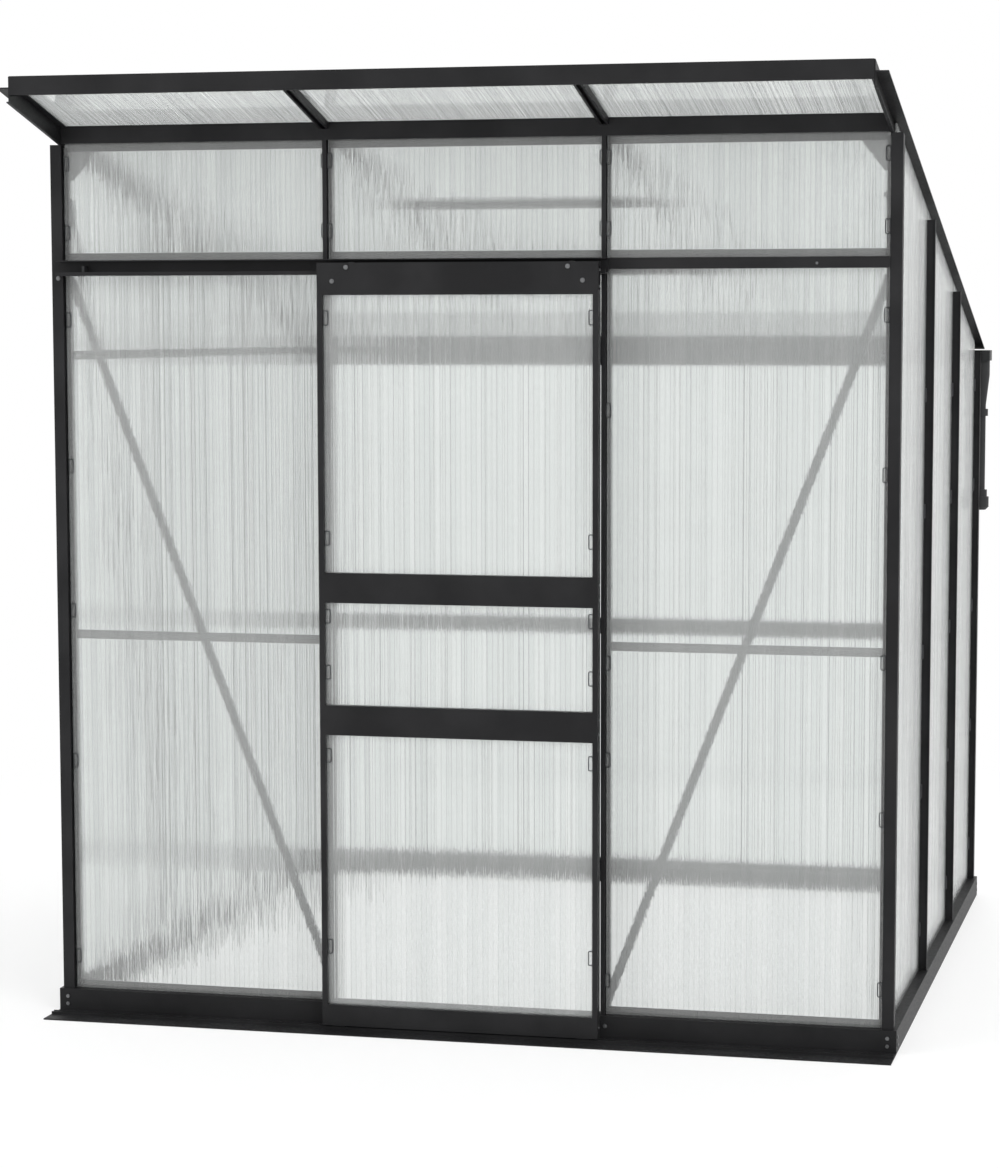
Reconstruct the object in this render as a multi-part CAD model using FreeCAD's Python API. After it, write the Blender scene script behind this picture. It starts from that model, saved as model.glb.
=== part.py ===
import math
import os

import FreeCAD
import Part

V = FreeCAD.Vector

# Overall sizes, in millimetres, and the roof pitch in degrees
base_width = 1930.0
base_depth = 1930.0
base_height = 52.0
roof_height = 2010.0
roof_pitch = 14.1
roof_overhang = 285.0

# Sheet and wall thicknesses
alloy = 2.5
pane = 4.0

# Glazing bar section, depths measured inwards from the base's outer face
head_depth = 4.0
head_thick = 3.0
head_width = 9.0
seat_depth = 27.5
slot_depth = 12.5
seat_width = 21.0
slot_mouth = 10.0
web_thick = 3.0
pane_gap = 2.0
seat_lip = 17.0

# Corner post section
corner_face = 7.2
corner_leg = 25.8
corner_pane_gap = 3.5
corner_axis = 22.0

# Base rail section
base_ledge = 46.0
base_foot = 34.0
base_lip = 8.0
anchor_hole = 9.0
anchor_inset = 120.0

# Front wall heights
transom_z = 1692.8
transom_height = 24.1
beam_z = 1977.4
beam_groove = 12.0
front_rail_z = 860.0
strap_width = 20.0
brace_play = 1.5
gusset_leg = 80.0

# Rear and side wall heights
eave_height = 54.0
rear_rail_z = 709.0
rear_rail_height = 45.0
tie_rise = 16.6

# End rafter section, n is measured square to the roof from its drip flange
rafter_step = 4.5
rafter_drip = 5.0
rafter_low = 32.0
rafter_top = 22.2
rafter_seat = 13.5
pane_n = 7.0
roof_head = 13.0

# Fascia
fascia_height = 40.0
fascia_lip = 15.0
fascia_top_lip = 10.0

# Gutter and downpipe
gutter_width = 68.0
gutter_height = 28.0
gutter_wall = 2.0
gutter_lip = 6.0
gutter_cap = 20.0
gutter_drop = 2.6
roof_drip = 15.0
pipe_radius = 12.5
pipe_bore = 10.5
pipe_inset = 9.0
funnel_radius = 21.8
funnel_height = 40.0
taper_height = 81.0
pipe_length = 251.0
collar_radius = 18.5
collar_height = 19.0
collar_drop = 11.0
collar_play = 0.15
spout_radius = 23.5
spout_height = 36.0
spout_edge = 8.0

# Sliding door
door_width = 630.0
door_depth = 25.0
door_offset = 56.0
door_bottom = 12.0
door_top = 1708.0
header_height = 70.0
stile_width = 12.0
door_rail_height = 66.0
door_rail_lower = 667.7
door_rail_upper = 962.3
bottom_rail_height = 47.0
groove_depth = 7.0
groove_play = 0.2
door_travel = 610.0

# Door track, rollers and sill
track_reach = 31.0
track_inset = 29.0
track_height = 34.1
track_lip = 8.0
roller_radius = 12.5
roller_width = 10.0
roller_inset = 67.0
roller_play = 0.3
axle_radius = 3.0
axle_play = 0.05
axle_head = 5.0
stop_width = 6.0
sill_depth = 100.0
sill_thick = 3.0
sill_rib = 6.0
guide_width = 8.0
guide_length = 30.0
guide_play = 1.5
guide_inset = 35.0

# Roof vent
vent_start = 640.0
vent_length = 600.0
vent_gap = 1.0
vent_lift = 0.5
vent_bar = 12.0
hinge_wall = 1.0
hinge_radius = 6.2
rod_radius = 3.0
lug_place = 195.0
lug_width = 10.0
lug_reach = 5.0
cross_height = 12.0
cross_width = 22.0
cross_lap = 8.0
stay_length = 250.0
stay_width = 14.0
stay_thick = 5.0
stay_pin = 2.5
stay_drop = 13.0
stay_gap = 3.0
stay_hole = 3.5
stay_holes = 3
peg_radius = 3.0
peg_length = 12.0
peg_place = 30.0

# Bolts
nut_size = 10.0
nut_height = 5.0
screw_size = 8.0
screw_height = 2.0
screw_inset = 20.0

# Values that follow from the sizes above
half_width = base_width / 2
pitch = math.radians(roof_pitch)
slope_cos = math.cos(pitch)
inner_depth = seat_depth + alloy + slot_depth
front_pitch = (base_width - 2 * corner_axis) / 3
side_pitch = (base_depth - 2 * corner_axis) / 3
leg_tip = corner_face + corner_leg
brace_inset = seat_depth + strap_width / 2 + brace_play
pane_side = corner_pane_gap + seat_depth + alloy
roof_front = -roof_overhang
gutter_back = base_depth - head_depth
gutter_rear = gutter_back + gutter_width
rafter_web = seat_depth + rafter_step
rafter_inner = rafter_web + alloy
transom_top = transom_z + transom_height
reach = 4 * (base_width + base_depth)
shift_y = -(roof_front + gutter_rear) / 2
track_z = transom_top - track_height
roller_z = track_z + alloy + roller_play + roller_radius
roller_x = door_width / 2 - roller_inset
door_back = -door_offset + door_depth
pane_y = -door_offset + (door_depth - pane) / 2
header_z = door_top - header_height
vent_half = front_pitch / 2 - head_width / 2 - vent_gap
vent_n = pane_n + vent_lift
hinge_n = vent_n + hinge_radius
vent_end = vent_start + vent_length
vent_foot = cross_lap + stay_gap + stay_width + vent_gap
pivot_s = vent_end - cross_lap - stay_gap - stay_width / 2
lug_clear = math.hypot(lug_reach, hinge_radius + vent_lift) + vent_gap
hinge_back = vent_start + rod_radius + hinge_wall
pivot_n = pane_n - stay_drop


def roof_z(y, n=0.0):
    return roof_height - y * math.tan(pitch) + n / slope_cos


eave_top = roof_z(base_depth, pane_n)
eave_z = eave_top - eave_height
gutter_z = eave_z - gutter_drop
funnel_x = half_width - pipe_inset
funnel_y = gutter_back + gutter_width / 2


def box(x0, x1, y0, y1, z0, z1):
    return Part.makeBox(x1 - x0, y1 - y0, z1 - z0, V(x0, y0, z0))


def fuse(shapes):
    return shapes[0].fuse(shapes[1:]).removeSplitter().Solids[0]


def prism(points, path):
    corners = [V(*p) for p in points]
    return Part.Face(Part.makePolygon(corners + corners[:1])).extrude(V(*path))


def rod(x, y, z, radius, path):
    return Part.makeCylinder(radius, V(*path).Length, V(x, y, z), V(*path))


def hexagon(x, y, z, size, height):
    # Hexagon nut standing inwards from the wall, its axis along y
    r = size / math.sqrt(3)
    ring = [(x + r * math.cos(k * math.pi / 3), y, z + r * math.sin(k * math.pi / 3)) for k in range(6)]
    return prism(ring, (0, height, 0))


def above_roof(n):
    # Everything higher than n over the roof's reference plane
    front, rear = -reach, reach
    points = [(-reach, front, roof_z(front, n)), (-reach, rear, roof_z(rear, n))]
    points += [(-reach, rear, roof_z(front, n) + reach), (-reach, front, roof_z(front, n) + reach)]
    return prism(points, (2 * reach, 0, 0))


def tilt(shape):
    # From the flat layout (x, distance down the slope, n) onto the pitched roof
    shape = shape.copy()
    shape.rotate(V(0, 0, 0), V(1, 0, 0), -roof_pitch)
    shape.translate(V(0, 0, roof_height))
    return shape


def trim_ends(shape, front, rear):
    shape = shape.cut(box(-reach, reach, -reach, front, -reach, reach))
    return shape.cut(box(-reach, reach, rear, reach, -reach, reach)).Solids[0]


def on_wall(shape, wall):
    # Pieces are drawn for a wall whose outer base face is y = 0, with x along it
    turn = {"front": 0, "right": 90, "rear": 180, "left": -90}[wall]
    place = {"front": V(0, 0, 0), "right": V(half_width, base_depth / 2, 0),
             "rear": V(0, base_depth, 0), "left": V(-half_width, base_depth / 2, 0)}[wall]
    shape = shape.copy()
    shape.rotate(V(0, 0, 0), V(0, 0, 1), turn)
    shape.translate(place)
    return shape


def mirror(shape):
    return shape.mirror(V(0, 0, 0), V(1, 0, 0))


def save(name, shapes):
    placed = []
    for shape in shapes:
        shape = shape.copy()
        shape.translate(V(0, shift_y, 0))
        placed.append(shape)
    whole = placed[0] if len(placed) == 1 else Part.makeCompound(placed)
    whole.exportStep("parts/" + name + ".step")


def bar_section(top):
    # Narrow head at depth top, web, pane seat and the bolt slot behind it: width from, to, depth from, to
    head, seat, mouth = head_width / 2, seat_width / 2, slot_mouth / 2
    web = web_thick / 2
    rects = [(-head, head, top, top + head_thick)]
    rects.append((-web, web, top, seat_depth + alloy))
    rects.append((-seat, seat, seat_depth, seat_depth + alloy))
    rects.append((-seat, alloy - seat, seat_depth, inner_depth))
    rects.append((seat - alloy, seat, seat_depth, inner_depth))
    rects.append((-seat, -mouth, inner_depth - alloy, inner_depth))
    rects.append((mouth, seat, inner_depth - alloy, inner_depth))
    return rects


def upright(x, z0, z1):
    return fuse([box(x + a, x + b, c, d, z0, z1) for a, b, c, d in bar_section(head_depth)])


def roof_n(depth):
    return pane_n + seat_depth - depth


def roof_bar(x, front, rear):
    section = bar_section(seat_depth - roof_head)
    parts = [box(x + a, x + b, -reach, reach, roof_n(d), roof_n(c)) for a, b, c, d in section]
    return trim_ends(tilt(fuse(parts)), front, rear)


def bay_lips(length, z0, z1, doorway=False):
    # Flanges behind the panes of a wall's bays, from upright to upright
    step = (length - 2 * corner_axis) / 3
    seat, edge = seat_width / 2, length / 2 - inner_depth
    bays = [(-edge, -step / 2 - seat), (seat - step / 2, step / 2 - seat), (step / 2 + seat, edge)]
    if doorway:
        bays.pop(1)
    return [box(a, b, seat_depth, seat_depth + alloy, z0, z1) for a, b in bays]


def base_rail(length, holes, doorway):
    # C section with an inner ledge for the posts, mitred at both ends, and pane seats on the ledge
    half = length / 2
    parts = [box(-half, half, 0, alloy, 0, base_height)]
    parts.append(box(-half, half, 0, base_ledge, base_height - alloy, base_height))
    lip = base_height - alloy - base_lip
    parts.append(box(-half, half, base_ledge - alloy, base_ledge, lip, base_height))
    parts.append(box(-half, half, 0, base_foot, 0, alloy))
    parts.append(box(-half, half, base_foot - alloy, base_foot, 0, base_lip))
    short = half - base_ledge
    plan = [(-half, 0, 0), (half, 0, 0), (short, base_ledge, 0), (-short, base_ledge, 0)]
    rail = fuse(parts).common(prism(plan, (0, 0, base_height)))
    rail = fuse([rail] + bay_lips(length, base_height, base_height + seat_lip, doorway))
    for x in holes:
        rail = rail.cut(rod(x, base_foot / 2, 0, anchor_hole / 2, (0, 0, alloy)))
    return rail.Solids[0]


def wall_lengths():
    return [(wall, base_width if wall in ("front", "rear") else base_depth) for wall in
            ("front", "rear", "left", "right")]


def make_base():
    for wall, length in wall_lengths():
        place = length / 2 - anchor_inset
        save("base_rail_" + wall, [on_wall(base_rail(length, (-place, place), wall == "front"), wall)])


def corner_post():
    a, b, c = corner_face, seat_depth, inner_depth
    rects = [(a, leg_tip, a, a + alloy), (a, a + alloy, a, leg_tip)]
    rects += [(a, c, b, b + alloy), (b, b + alloy, a, c)]
    rects += [(b, c, c - alloy, c), (c - alloy, c, b, c)]
    return fuse([box(p, q, r, s, base_height, 2 * roof_height) for p, q, r, s in rects])


def make_corners():
    corners = (("front_left", 0, -half_width, 0), ("front_right", 90, half_width, 0),
               ("rear_right", 180, half_width, base_depth), ("rear_left", -90, -half_width, base_depth))
    for name, turn, x, y in corners:
        post = corner_post()
        post.rotate(V(0, 0, 0), V(0, 0, 1), turn)
        post.translate(V(x, y, 0))
        save("corner_post_" + name, post.cut(above_roof(-rafter_low)).Solids)


def wall_beam(half, z0, z1):
    # Hollow rail with a groove below for the panes; its top is cut to the roof afterwards
    groove = z0 + beam_groove
    parts = [box(-half, half, head_depth, head_depth + alloy, z0, z1)]
    parts.append(box(-half, half, seat_depth, seat_depth + alloy, z0, groove + alloy))
    parts.append(box(-half, half, inner_depth - alloy, inner_depth, z0, z1))
    parts.append(box(-half, half, head_depth, inner_depth, groove, groove + alloy))
    return fuse(parts + bay_lips(base_width, z0 - seat_lip, z0))


def clear_posts(rail):
    # The rail's ends reach the posts' legs and are notched round the posts' cores
    edge = half_width - inner_depth
    for x0, x1 in ((-half_width, -edge), (edge, half_width)):
        rail = rail.cut(box(x0, x1, seat_depth, inner_depth, 0, 2 * roof_height))
    return rail.Solids[0]


def cut_for_roof(beam):
    # The beam carries the panes and is notched for the rafters that cross it
    beam = beam.cut(above_roof(pane_n))
    seat, low = seat_width / 2, roof_n(inner_depth)
    for side in (-1, 1):
        x = side * front_pitch / 2
        beam = beam.cut(tilt(box(x - seat, x + seat, -reach, reach, low, reach)))
        edge = half_width - rafter_inner - rafter_seat
        ends = (edge, half_width) if side > 0 else (-half_width, -edge)
        beam = beam.cut(tilt(box(ends[0], ends[1], -reach, reach, pane_n - alloy, reach)))
    return beam.Solids[0]


def make_front_wall():
    x = front_pitch / 2
    save("front_mullions_lower", [upright(-x, base_height, transom_z), upright(x, base_height, transom_z)])
    save("front_mullions_upper", [upright(-x, transom_top, beam_z), upright(x, transom_top, beam_z)])
    half = half_width - leg_tip
    middle = transom_z + (transom_height - alloy) / 2
    rail = [box(-half, half, d, d + alloy, transom_z, transom_top) for d in (head_depth, seat_depth)]
    rail.append(box(-half, half, inner_depth - alloy, inner_depth, transom_z, transom_top))
    rail.append(box(-half, half, head_depth, inner_depth, middle, middle + alloy))
    rail += bay_lips(base_width, transom_top, transom_top + seat_lip)
    save("front_transom_rail", [clear_posts(fuse(rail))])
    beam = wall_beam(half_width - rafter_inner, beam_z, 2 * roof_height)
    save("front_top_beam", [cut_for_roof(beam)])
    strap = box(-half_width + seat_depth + alloy, seat_width / 2 - x, inner_depth, inner_depth + alloy,
                front_rail_z, front_rail_z + strap_width)
    save("front_mid_rails", [strap, mirror(strap)])
    save("front_braces", [front_brace(), mirror(front_brace())])
    save("corner_gussets", [gusset(), mirror(gusset())])


def gusset():
    # Corner plate that ties the post to the beam, stepped to pass inside the end rafter
    corner, inner = -half_width + seat_depth + alloy, -half_width + rafter_inner
    top, step = beam_z + strap_width, roof_z(inner_depth + alloy, -rafter_low)
    far, low = -half_width + leg_tip + gusset_leg, beam_z - gusset_leg
    plate = [(corner, low), (corner + strap_width, low), (far, beam_z), (far, top), (inner, top)]
    plate += [(inner, step), (corner, step)]
    return prism([(x, inner_depth, z) for x, z in plate], (0, alloy, 0))


def strap_between(x0, z0, x1, z1, depth):
    # Flat bar on edge between two bolt places, with rounded ends about them
    length = math.hypot(x1 - x0, z1 - z0)
    half = strap_width / 2
    ends = [rod(x, depth, 0, half, (0, alloy, 0)) for x in (0, length)]
    strap = fuse([box(0, length, depth, depth + alloy, -half, half)] + ends)
    strap.rotate(V(0, 0, 0), V(0, 1, 0), -math.degrees(math.atan2(z1 - z0, x1 - x0)))
    strap.translate(V(x0, 0, z0))
    return strap


def front_brace_ends():
    x0 = -half_width + brace_inset
    return x0, transom_z - strap_width, -front_pitch / 2, base_height + strap_width


def front_brace():
    return strap_between(*front_brace_ends(), inner_depth + alloy)


def side_brace_ends():
    # Along the right wall, x runs to the rear: front bay first, then the rear bay
    post = base_depth / 2 - brace_inset
    low = base_height + strap_width
    drop = gusset_leg + 2 * strap_width
    ends = []
    for side in (-1, 1):
        top = roof_z(base_depth / 2 + side * post, -rafter_low) - drop
        ends.append((side * post, top, side * side_pitch / 2, low))
    return ends


def side_tie_ends():
    # Level tie at the eave's height, from the front corner to the eave beam, behind the braces
    rear = base_depth / 2 - inner_depth - strap_width / 2
    return -(base_depth / 2 - brace_inset), rear, eave_z + tie_rise + strap_width / 2


def make_side_walls():
    for wall, sense in (("left", -1), ("right", 1)):
        posts = []
        for x in (-side_pitch / 2, side_pitch / 2):
            post = on_wall(upright(x, base_height, 2 * roof_height), wall)
            posts.append(post.cut(above_roof(-rafter_low)).Solids[0])
        save("side_posts_" + wall, posts)
        straps = []
        for x0, z0, x1, z1 in side_brace_ends():
            straps.append(on_wall(strap_between(sense * x0, z0, sense * x1, z1, inner_depth), wall))
        front, rear, z = side_tie_ends()
        straps.append(on_wall(strap_between(sense * front, z, sense * rear, z, inner_depth + alloy), wall))
        save("side_braces_" + wall, straps)


def make_rear_wall():
    posts = [on_wall(upright(x, base_height, eave_z), "rear") for x in (-front_pitch / 2, front_pitch / 2)]
    save("rear_posts", posts)
    half = half_width - max(leg_tip, rafter_inner)
    beam = on_wall(clear_posts(wall_beam(half, eave_z, 2 * roof_height)), "rear")
    save("rear_eave_beam", [cut_for_roof(beam)])
    half = half_width - seat_depth - alloy
    strap = box(-half, half, inner_depth, inner_depth + alloy, rear_rail_z, rear_rail_z + rear_rail_height)
    save("rear_mid_rail", [on_wall(strap, "rear")])


def end_rafter():
    # Right-hand rafter: web, drip flange outside, pane seat inside and a lip that backs the side panes
    rects = [(rafter_web, rafter_inner, -rafter_low, rafter_top), (rafter_drip, rafter_inner, -alloy, 0)]
    rects.append((rafter_web, rafter_inner + rafter_seat, pane_n - alloy, pane_n))
    rects.append((seat_depth, rafter_inner, -rafter_low, alloy - rafter_low))
    boxes = [box(half_width - b, half_width - a, -reach, reach, c, d) for a, b, c, d in rects]
    rafter = trim_ends(tilt(fuse(boxes)), roof_front + alloy, gutter_rear)
    notch = gutter_z + gutter_height + alloy
    return rafter.cut(box(-reach, reach, gutter_back, reach, -reach, notch)).Solids[0]


def fascia():
    top = roof_z(roof_front, rafter_top)
    half = half_width - rafter_inner
    back = roof_front + alloy
    web = box(-half, half, roof_front, back, top - fascia_height, top + alloy)
    low = box(-half, half, roof_front, back + fascia_lip, top - fascia_height, top - fascia_height + alloy)
    s0, s1 = roof_front / slope_cos - alloy, (back + fascia_top_lip) / slope_cos
    lip = tilt(box(-half, half, s0 * 2, s1, pane_n + roof_head, rafter_top))
    lip = lip.cut(box(-reach, reach, -reach, roof_front, -reach, reach))
    return fuse([web, low, lip]).cut(above_roof(rafter_top)).Solids[0]


def roof_pane(x0, x1, s0, s1):
    return tilt(box(x0, x1, s0, s1, pane_n, pane_n + pane))


def make_roof():
    rafter = end_rafter()
    save("end_rafter_right", [rafter])
    save("end_rafter_left", [mirror(rafter)])
    x = front_pitch / 2
    rear = gutter_back
    save("mid_rafters", [roof_bar(side * x, roof_front + alloy, rear) for side in (-1, 1)])
    save("roof_fascia", [fascia()])
    gap = web_thick / 2 + pane_gap
    outer = half_width - rafter_inner - pane_gap
    s0 = (roof_front + 2 * alloy) / slope_cos
    s1 = (base_depth + roof_drip) / slope_cos
    side = roof_pane(x + gap, outer, s0, s1)
    upper = roof_pane(gap - x, x - gap, s0, vent_start - hinge_radius - pane_gap)
    lower = roof_pane(gap - x, x - gap, vent_end + pane_gap / 2, s1)
    save("roof_panels", [mirror(side), upper, lower, side])


def cross_bars():
    half = front_pitch / 2 - seat_width / 2
    low = pane_n - cross_height
    start = vent_start - cross_width + cross_lap
    upper = [box(-half, half, start, start + cross_width, low, pane_n)]
    for x in (-lug_place, lug_place):
        w = lug_width / 2
        s0, s1 = vent_start - lug_reach, vent_start + lug_reach
        upper.append(box(x - w, x + w, s0, s1, low, hinge_n + lug_reach))
    upper = fuse(upper).cut(rod(-half, vent_start, hinge_n, rod_radius + axle_play, (2 * half, 0, 0)))
    lower = box(-half, half, vent_end - cross_lap, vent_end - cross_lap + cross_width, low, pane_n)
    return [tilt(upper.Solids[0]), tilt(lower)]


def vent_bars():
    high = vent_n + vent_bar
    cell = box(-vent_half + vent_bar / 2 - groove_play, vent_half - vent_bar / 2 + groove_play,
               vent_start + vent_bar - groove_play, vent_end - vent_foot / 2 + groove_play,
               vent_pane_n() - groove_play, vent_pane_n() + pane + groove_play)
    top = box(-vent_half, vent_half, hinge_back, hinge_back + vent_bar, vent_n, high)
    top = fuse([top, rod(-vent_half, vent_start, hinge_n, hinge_radius, (2 * vent_half, 0, 0))])
    for x in (-lug_place, lug_place):
        w = lug_width / 2 + vent_lift
        top = top.cut(box(x - w, x + w, vent_start - lug_clear, vent_start + lug_clear, 0, 2 * high))
    top = top.cut(rod(-vent_half, vent_start, hinge_n, rod_radius + axle_play, (2 * vent_half, 0, 0)))
    s0, s1 = hinge_back + vent_bar, vent_end - vent_foot
    left = box(-vent_half, vent_bar - vent_half, s0, s1, vent_n, high)
    foot = box(-vent_half, vent_half, s1, vent_end, vent_n, high)
    return [tilt(piece.cut(cell).Solids[0]) for piece in (top, left, mirror(left), foot)]


def vent_pane_n():
    return vent_n + (vent_bar - pane) / 2


def make_vent():
    save("vent_crossbars", cross_bars())
    half = front_pitch / 2 - seat_width / 2
    save("vent_hinge_rod", [tilt(rod(-half, vent_start, hinge_n, rod_radius, (2 * half, 0, 0)))])
    save("vent_frame", vent_bars())
    x = vent_half - vent_bar / 2
    save("vent_panel", [tilt(box(-x, x, vent_start + vent_bar, vent_end - vent_foot / 2, vent_pane_n(),
                                 vent_pane_n() + pane))])
    cheek = stay_thick / 2 + vent_gap
    arm = stay_width / 2
    bracket = [box(cheek, cheek + alloy, pivot_s - arm, pivot_s + arm, pivot_n - arm, vent_n)]
    bracket.append(mirror(bracket[0]))
    pin = rod(-cheek - alloy, pivot_s, pivot_n, stay_pin, (2 * (cheek + alloy), 0, 0))
    save("vent_stay_bracket", [tilt(fuse(bracket + [pin]))])
    t = stay_thick / 2
    stay = box(-t, t, pivot_s - stay_length, pivot_s + arm, pivot_n - arm, pivot_n + arm)
    stay = stay.cut(rod(-t, pivot_s, pivot_n, stay_pin + axle_play, (stay_thick, 0, 0)))
    for k in range(stay_holes):
        place = pivot_s - stay_length + stay_width * (1 + 2 * k)
        stay = stay.cut(rod(-t, place, pivot_n, stay_hole, (stay_thick, 0, 0)))
    save("vent_stay", [tilt(stay.Solids[0])])
    front, middle = vent_end - cross_lap, pane_n - cross_height / 2
    save("vent_stay_peg", [tilt(rod(peg_place, front, middle, peg_radius, (0, -peg_length, 0)))])


def make_gutter():
    half, top = half_width - rafter_drip, gutter_z + gutter_height
    wall = gutter_wall
    parts = [box(-half, half, gutter_back, gutter_back + wall, gutter_z, top)]
    parts.append(box(-half, half, gutter_back, gutter_rear, gutter_z, gutter_z + wall))
    parts.append(box(-half, half, gutter_rear - wall, gutter_rear, gutter_z, top))
    parts.append(box(-half, half, gutter_rear - gutter_lip, gutter_rear, top - wall, top))
    outlet = rod(funnel_x, funnel_y, gutter_z, pipe_bore, (0, 0, wall))
    save("rain_gutter", [fuse(parts).cut(outlet).Solids[0]])
    cap = box(half, half + gutter_cap, gutter_back, gutter_rear, gutter_z, top)
    end = half + gutter_cap - wall
    cap = cap.cut(box(half, end, gutter_back + wall, gutter_rear - wall, gutter_z + wall, top))
    save("gutter_end_cap_right", cap.cut(outlet).Solids)
    save("gutter_end_cap_left", [mirror(cap.Solids[0])])


def turned(points):
    # Ring turned about the downpipe's axis from (radius, height) points
    ring = Part.Face(Part.makePolygon([V(r, 0, z) for r, z in points + points[:1]]))
    solid = ring.revolve(V(0, 0, 0), V(0, 0, 1), 360)
    solid.translate(V(funnel_x, funnel_y, 0))
    return solid


def make_downpipe():
    z0 = gutter_z
    z1 = z0 - funnel_height
    z2 = z1 - taper_height
    z3 = z2 - pipe_length
    z4 = z3 - spout_height
    funnel = [(pipe_bore, z0), (funnel_radius, z0), (funnel_radius, z1), (pipe_radius, z2), (pipe_bore, z2)]
    save("gutter_outlet", [turned(funnel)])
    save("downpipe", [turned([(pipe_bore, z2), (pipe_radius, z2), (pipe_radius, z3), (pipe_bore, z3)])])
    rings = []
    for top in (z2 - collar_drop, z3 + collar_height):
        low = top - collar_height
        inner, outer = pipe_radius + collar_play, collar_radius
        rings.append(turned([(inner, top), (outer, top), (outer, low), (inner, low)]))
    save("downpipe_collars", rings)
    outer, edge = spout_radius, spout_edge
    spout = [(pipe_bore, z3), (outer, z3), (outer, z4 + edge), (outer - edge, z4), (pipe_bore, z4)]
    save("downpipe_spout", [turned(spout)])


def wall_pane(x0, x1, z0, z1):
    return box(x0, x1, seat_depth - pane, seat_depth, z0, z1)


def make_wall_panes():
    gap = web_thick / 2 + pane_gap
    x, outer = front_pitch / 2, half_width - pane_side
    grip = (transom_height - alloy) / 2 - 1
    bays_x = ((-outer, -x - gap), (gap - x, x - gap), (x + gap, outer))
    low, high = base_height, beam_z + beam_groove - 1
    panes = [wall_pane(a, b, transom_top - grip, high) for a, b in bays_x]
    for side in (-1, 1):
        edge = side * (half_width - rafter_inner - pane_gap)
        ends = (min(edge, side * reach), max(edge, side * reach))
        corner = tilt(box(ends[0], ends[1], -reach, reach, -rafter_low - 1, reach))
        panes = [sheet.cut(corner).Solids[0] for sheet in panes]
    save("transom_panels", panes)
    save("front_panels", [wall_pane(a, b, low, transom_z + grip) for a, b in (bays_x[0], bays_x[2])])
    top = eave_z + beam_groove - 1
    save("rear_panels", [on_wall(wall_pane(a, b, low, top), "rear") for a, b in bays_x])
    x, outer = side_pitch / 2, base_depth / 2 - pane_side
    bays_x = ((-outer, -x - gap), (gap - x, x - gap), (x + gap, outer))
    for wall in ("left", "right"):
        panes = []
        for a, b in bays_x:
            sheet = on_wall(wall_pane(a, b, low, 2 * roof_height), wall)
            panes.append(sheet.cut(above_roof(-2 * alloy)).Solids[0])
        save("side_panels_" + wall, panes)


def door_cell(z0, z1):
    # Room for one door pane with its play in the grooves
    x = door_width / 2 - stile_width + groove_depth
    p = groove_play
    return box(-x - p, x + p, pane_y - p, pane_y + pane + p, z0 - groove_depth - p, z1 + groove_depth + p)


def hollow_rail(half, z0, z1, cells):
    rail = box(-half, half, -door_offset, door_back, z0, z1)
    wall = alloy
    edge = groove_depth + groove_play + wall
    rail = rail.cut(box(-half, half, wall - door_offset, door_back - wall, z0 + edge, z1 - edge))
    for cell in cells:
        rail = rail.cut(cell)
    return rail.Solids[0]


def door_lights():
    low = door_bottom + bottom_rail_height
    mid = door_rail_lower + door_rail_height
    top = door_rail_upper + door_rail_height
    return ((low, door_rail_lower), (mid, door_rail_upper), (top, header_z))


def make_door():
    half = door_width / 2
    cells = [door_cell(z0, z1) for z0, z1 in door_lights()]
    stile = box(-half, stile_width - half, -door_offset, door_back, door_bottom, header_z)
    for cell in cells:
        stile = stile.cut(cell)
    save("door_stile_left", [stile.Solids[0]])
    save("door_stile_right", [mirror(stile.Solids[0])])
    inner = half - stile_width
    rails = [hollow_rail(inner, z, z + door_rail_height, cells) for z in (door_rail_lower, door_rail_upper)]
    save("door_mid_rails", rails)
    save("door_bottom_rail", [hollow_rail(inner, door_bottom, door_bottom + bottom_rail_height, cells)])
    header = hollow_rail(half, header_z, door_top, cells)
    for side in (-1, 1):
        hole = axle_radius + 2 * axle_play
        header = header.cut(rod(side * roller_x, -door_offset, roller_z, hole, (0, door_depth, 0)))
    save("door_header", [header.Solids[0]])
    panes = []
    x = inner + groove_depth
    for z0, z1 in door_lights():
        panes.append(box(-x, x, pane_y, pane_y + pane, z0 - groove_depth, z1 + groove_depth))
    save("door_panels", panes)
    middle = pane_y + pane / 2
    guides = []
    for side in (-1, 1):
        place = side * (half - guide_inset)
        guides.append(box(place - guide_length / 2, place + guide_length / 2, middle - guide_width / 2,
                          middle + guide_width / 2, sill_thick + guide_play, door_bottom))
    save("door_bottom_guides", guides)


def roller_y():
    return head_depth - alloy - (track_reach - 2 * alloy) / 2


def make_rollers():
    y = roller_y()
    axles = []
    for side, name in ((-1, "left"), (1, "right")):
        x = side * roller_x
        wheel = rod(x, y - roller_width / 2, roller_z, roller_radius, (0, roller_width, 0))
        bore = rod(x, y - roller_width / 2, roller_z, axle_radius + axle_play, (0, roller_width, 0))
        wheel = wheel.cut(bore)
        save("door_roller_" + name, [wheel.Solids[0]])
        pin = rod(x, -door_offset, roller_z, axle_radius, (0, door_offset + y + roller_width / 2 + 1, 0))
        head = rod(x, -door_offset - alloy, roller_z, axle_head, (0, alloy, 0))
        axles.append(fuse([pin, head]))
    save("door_roller_axles", axles)


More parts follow.
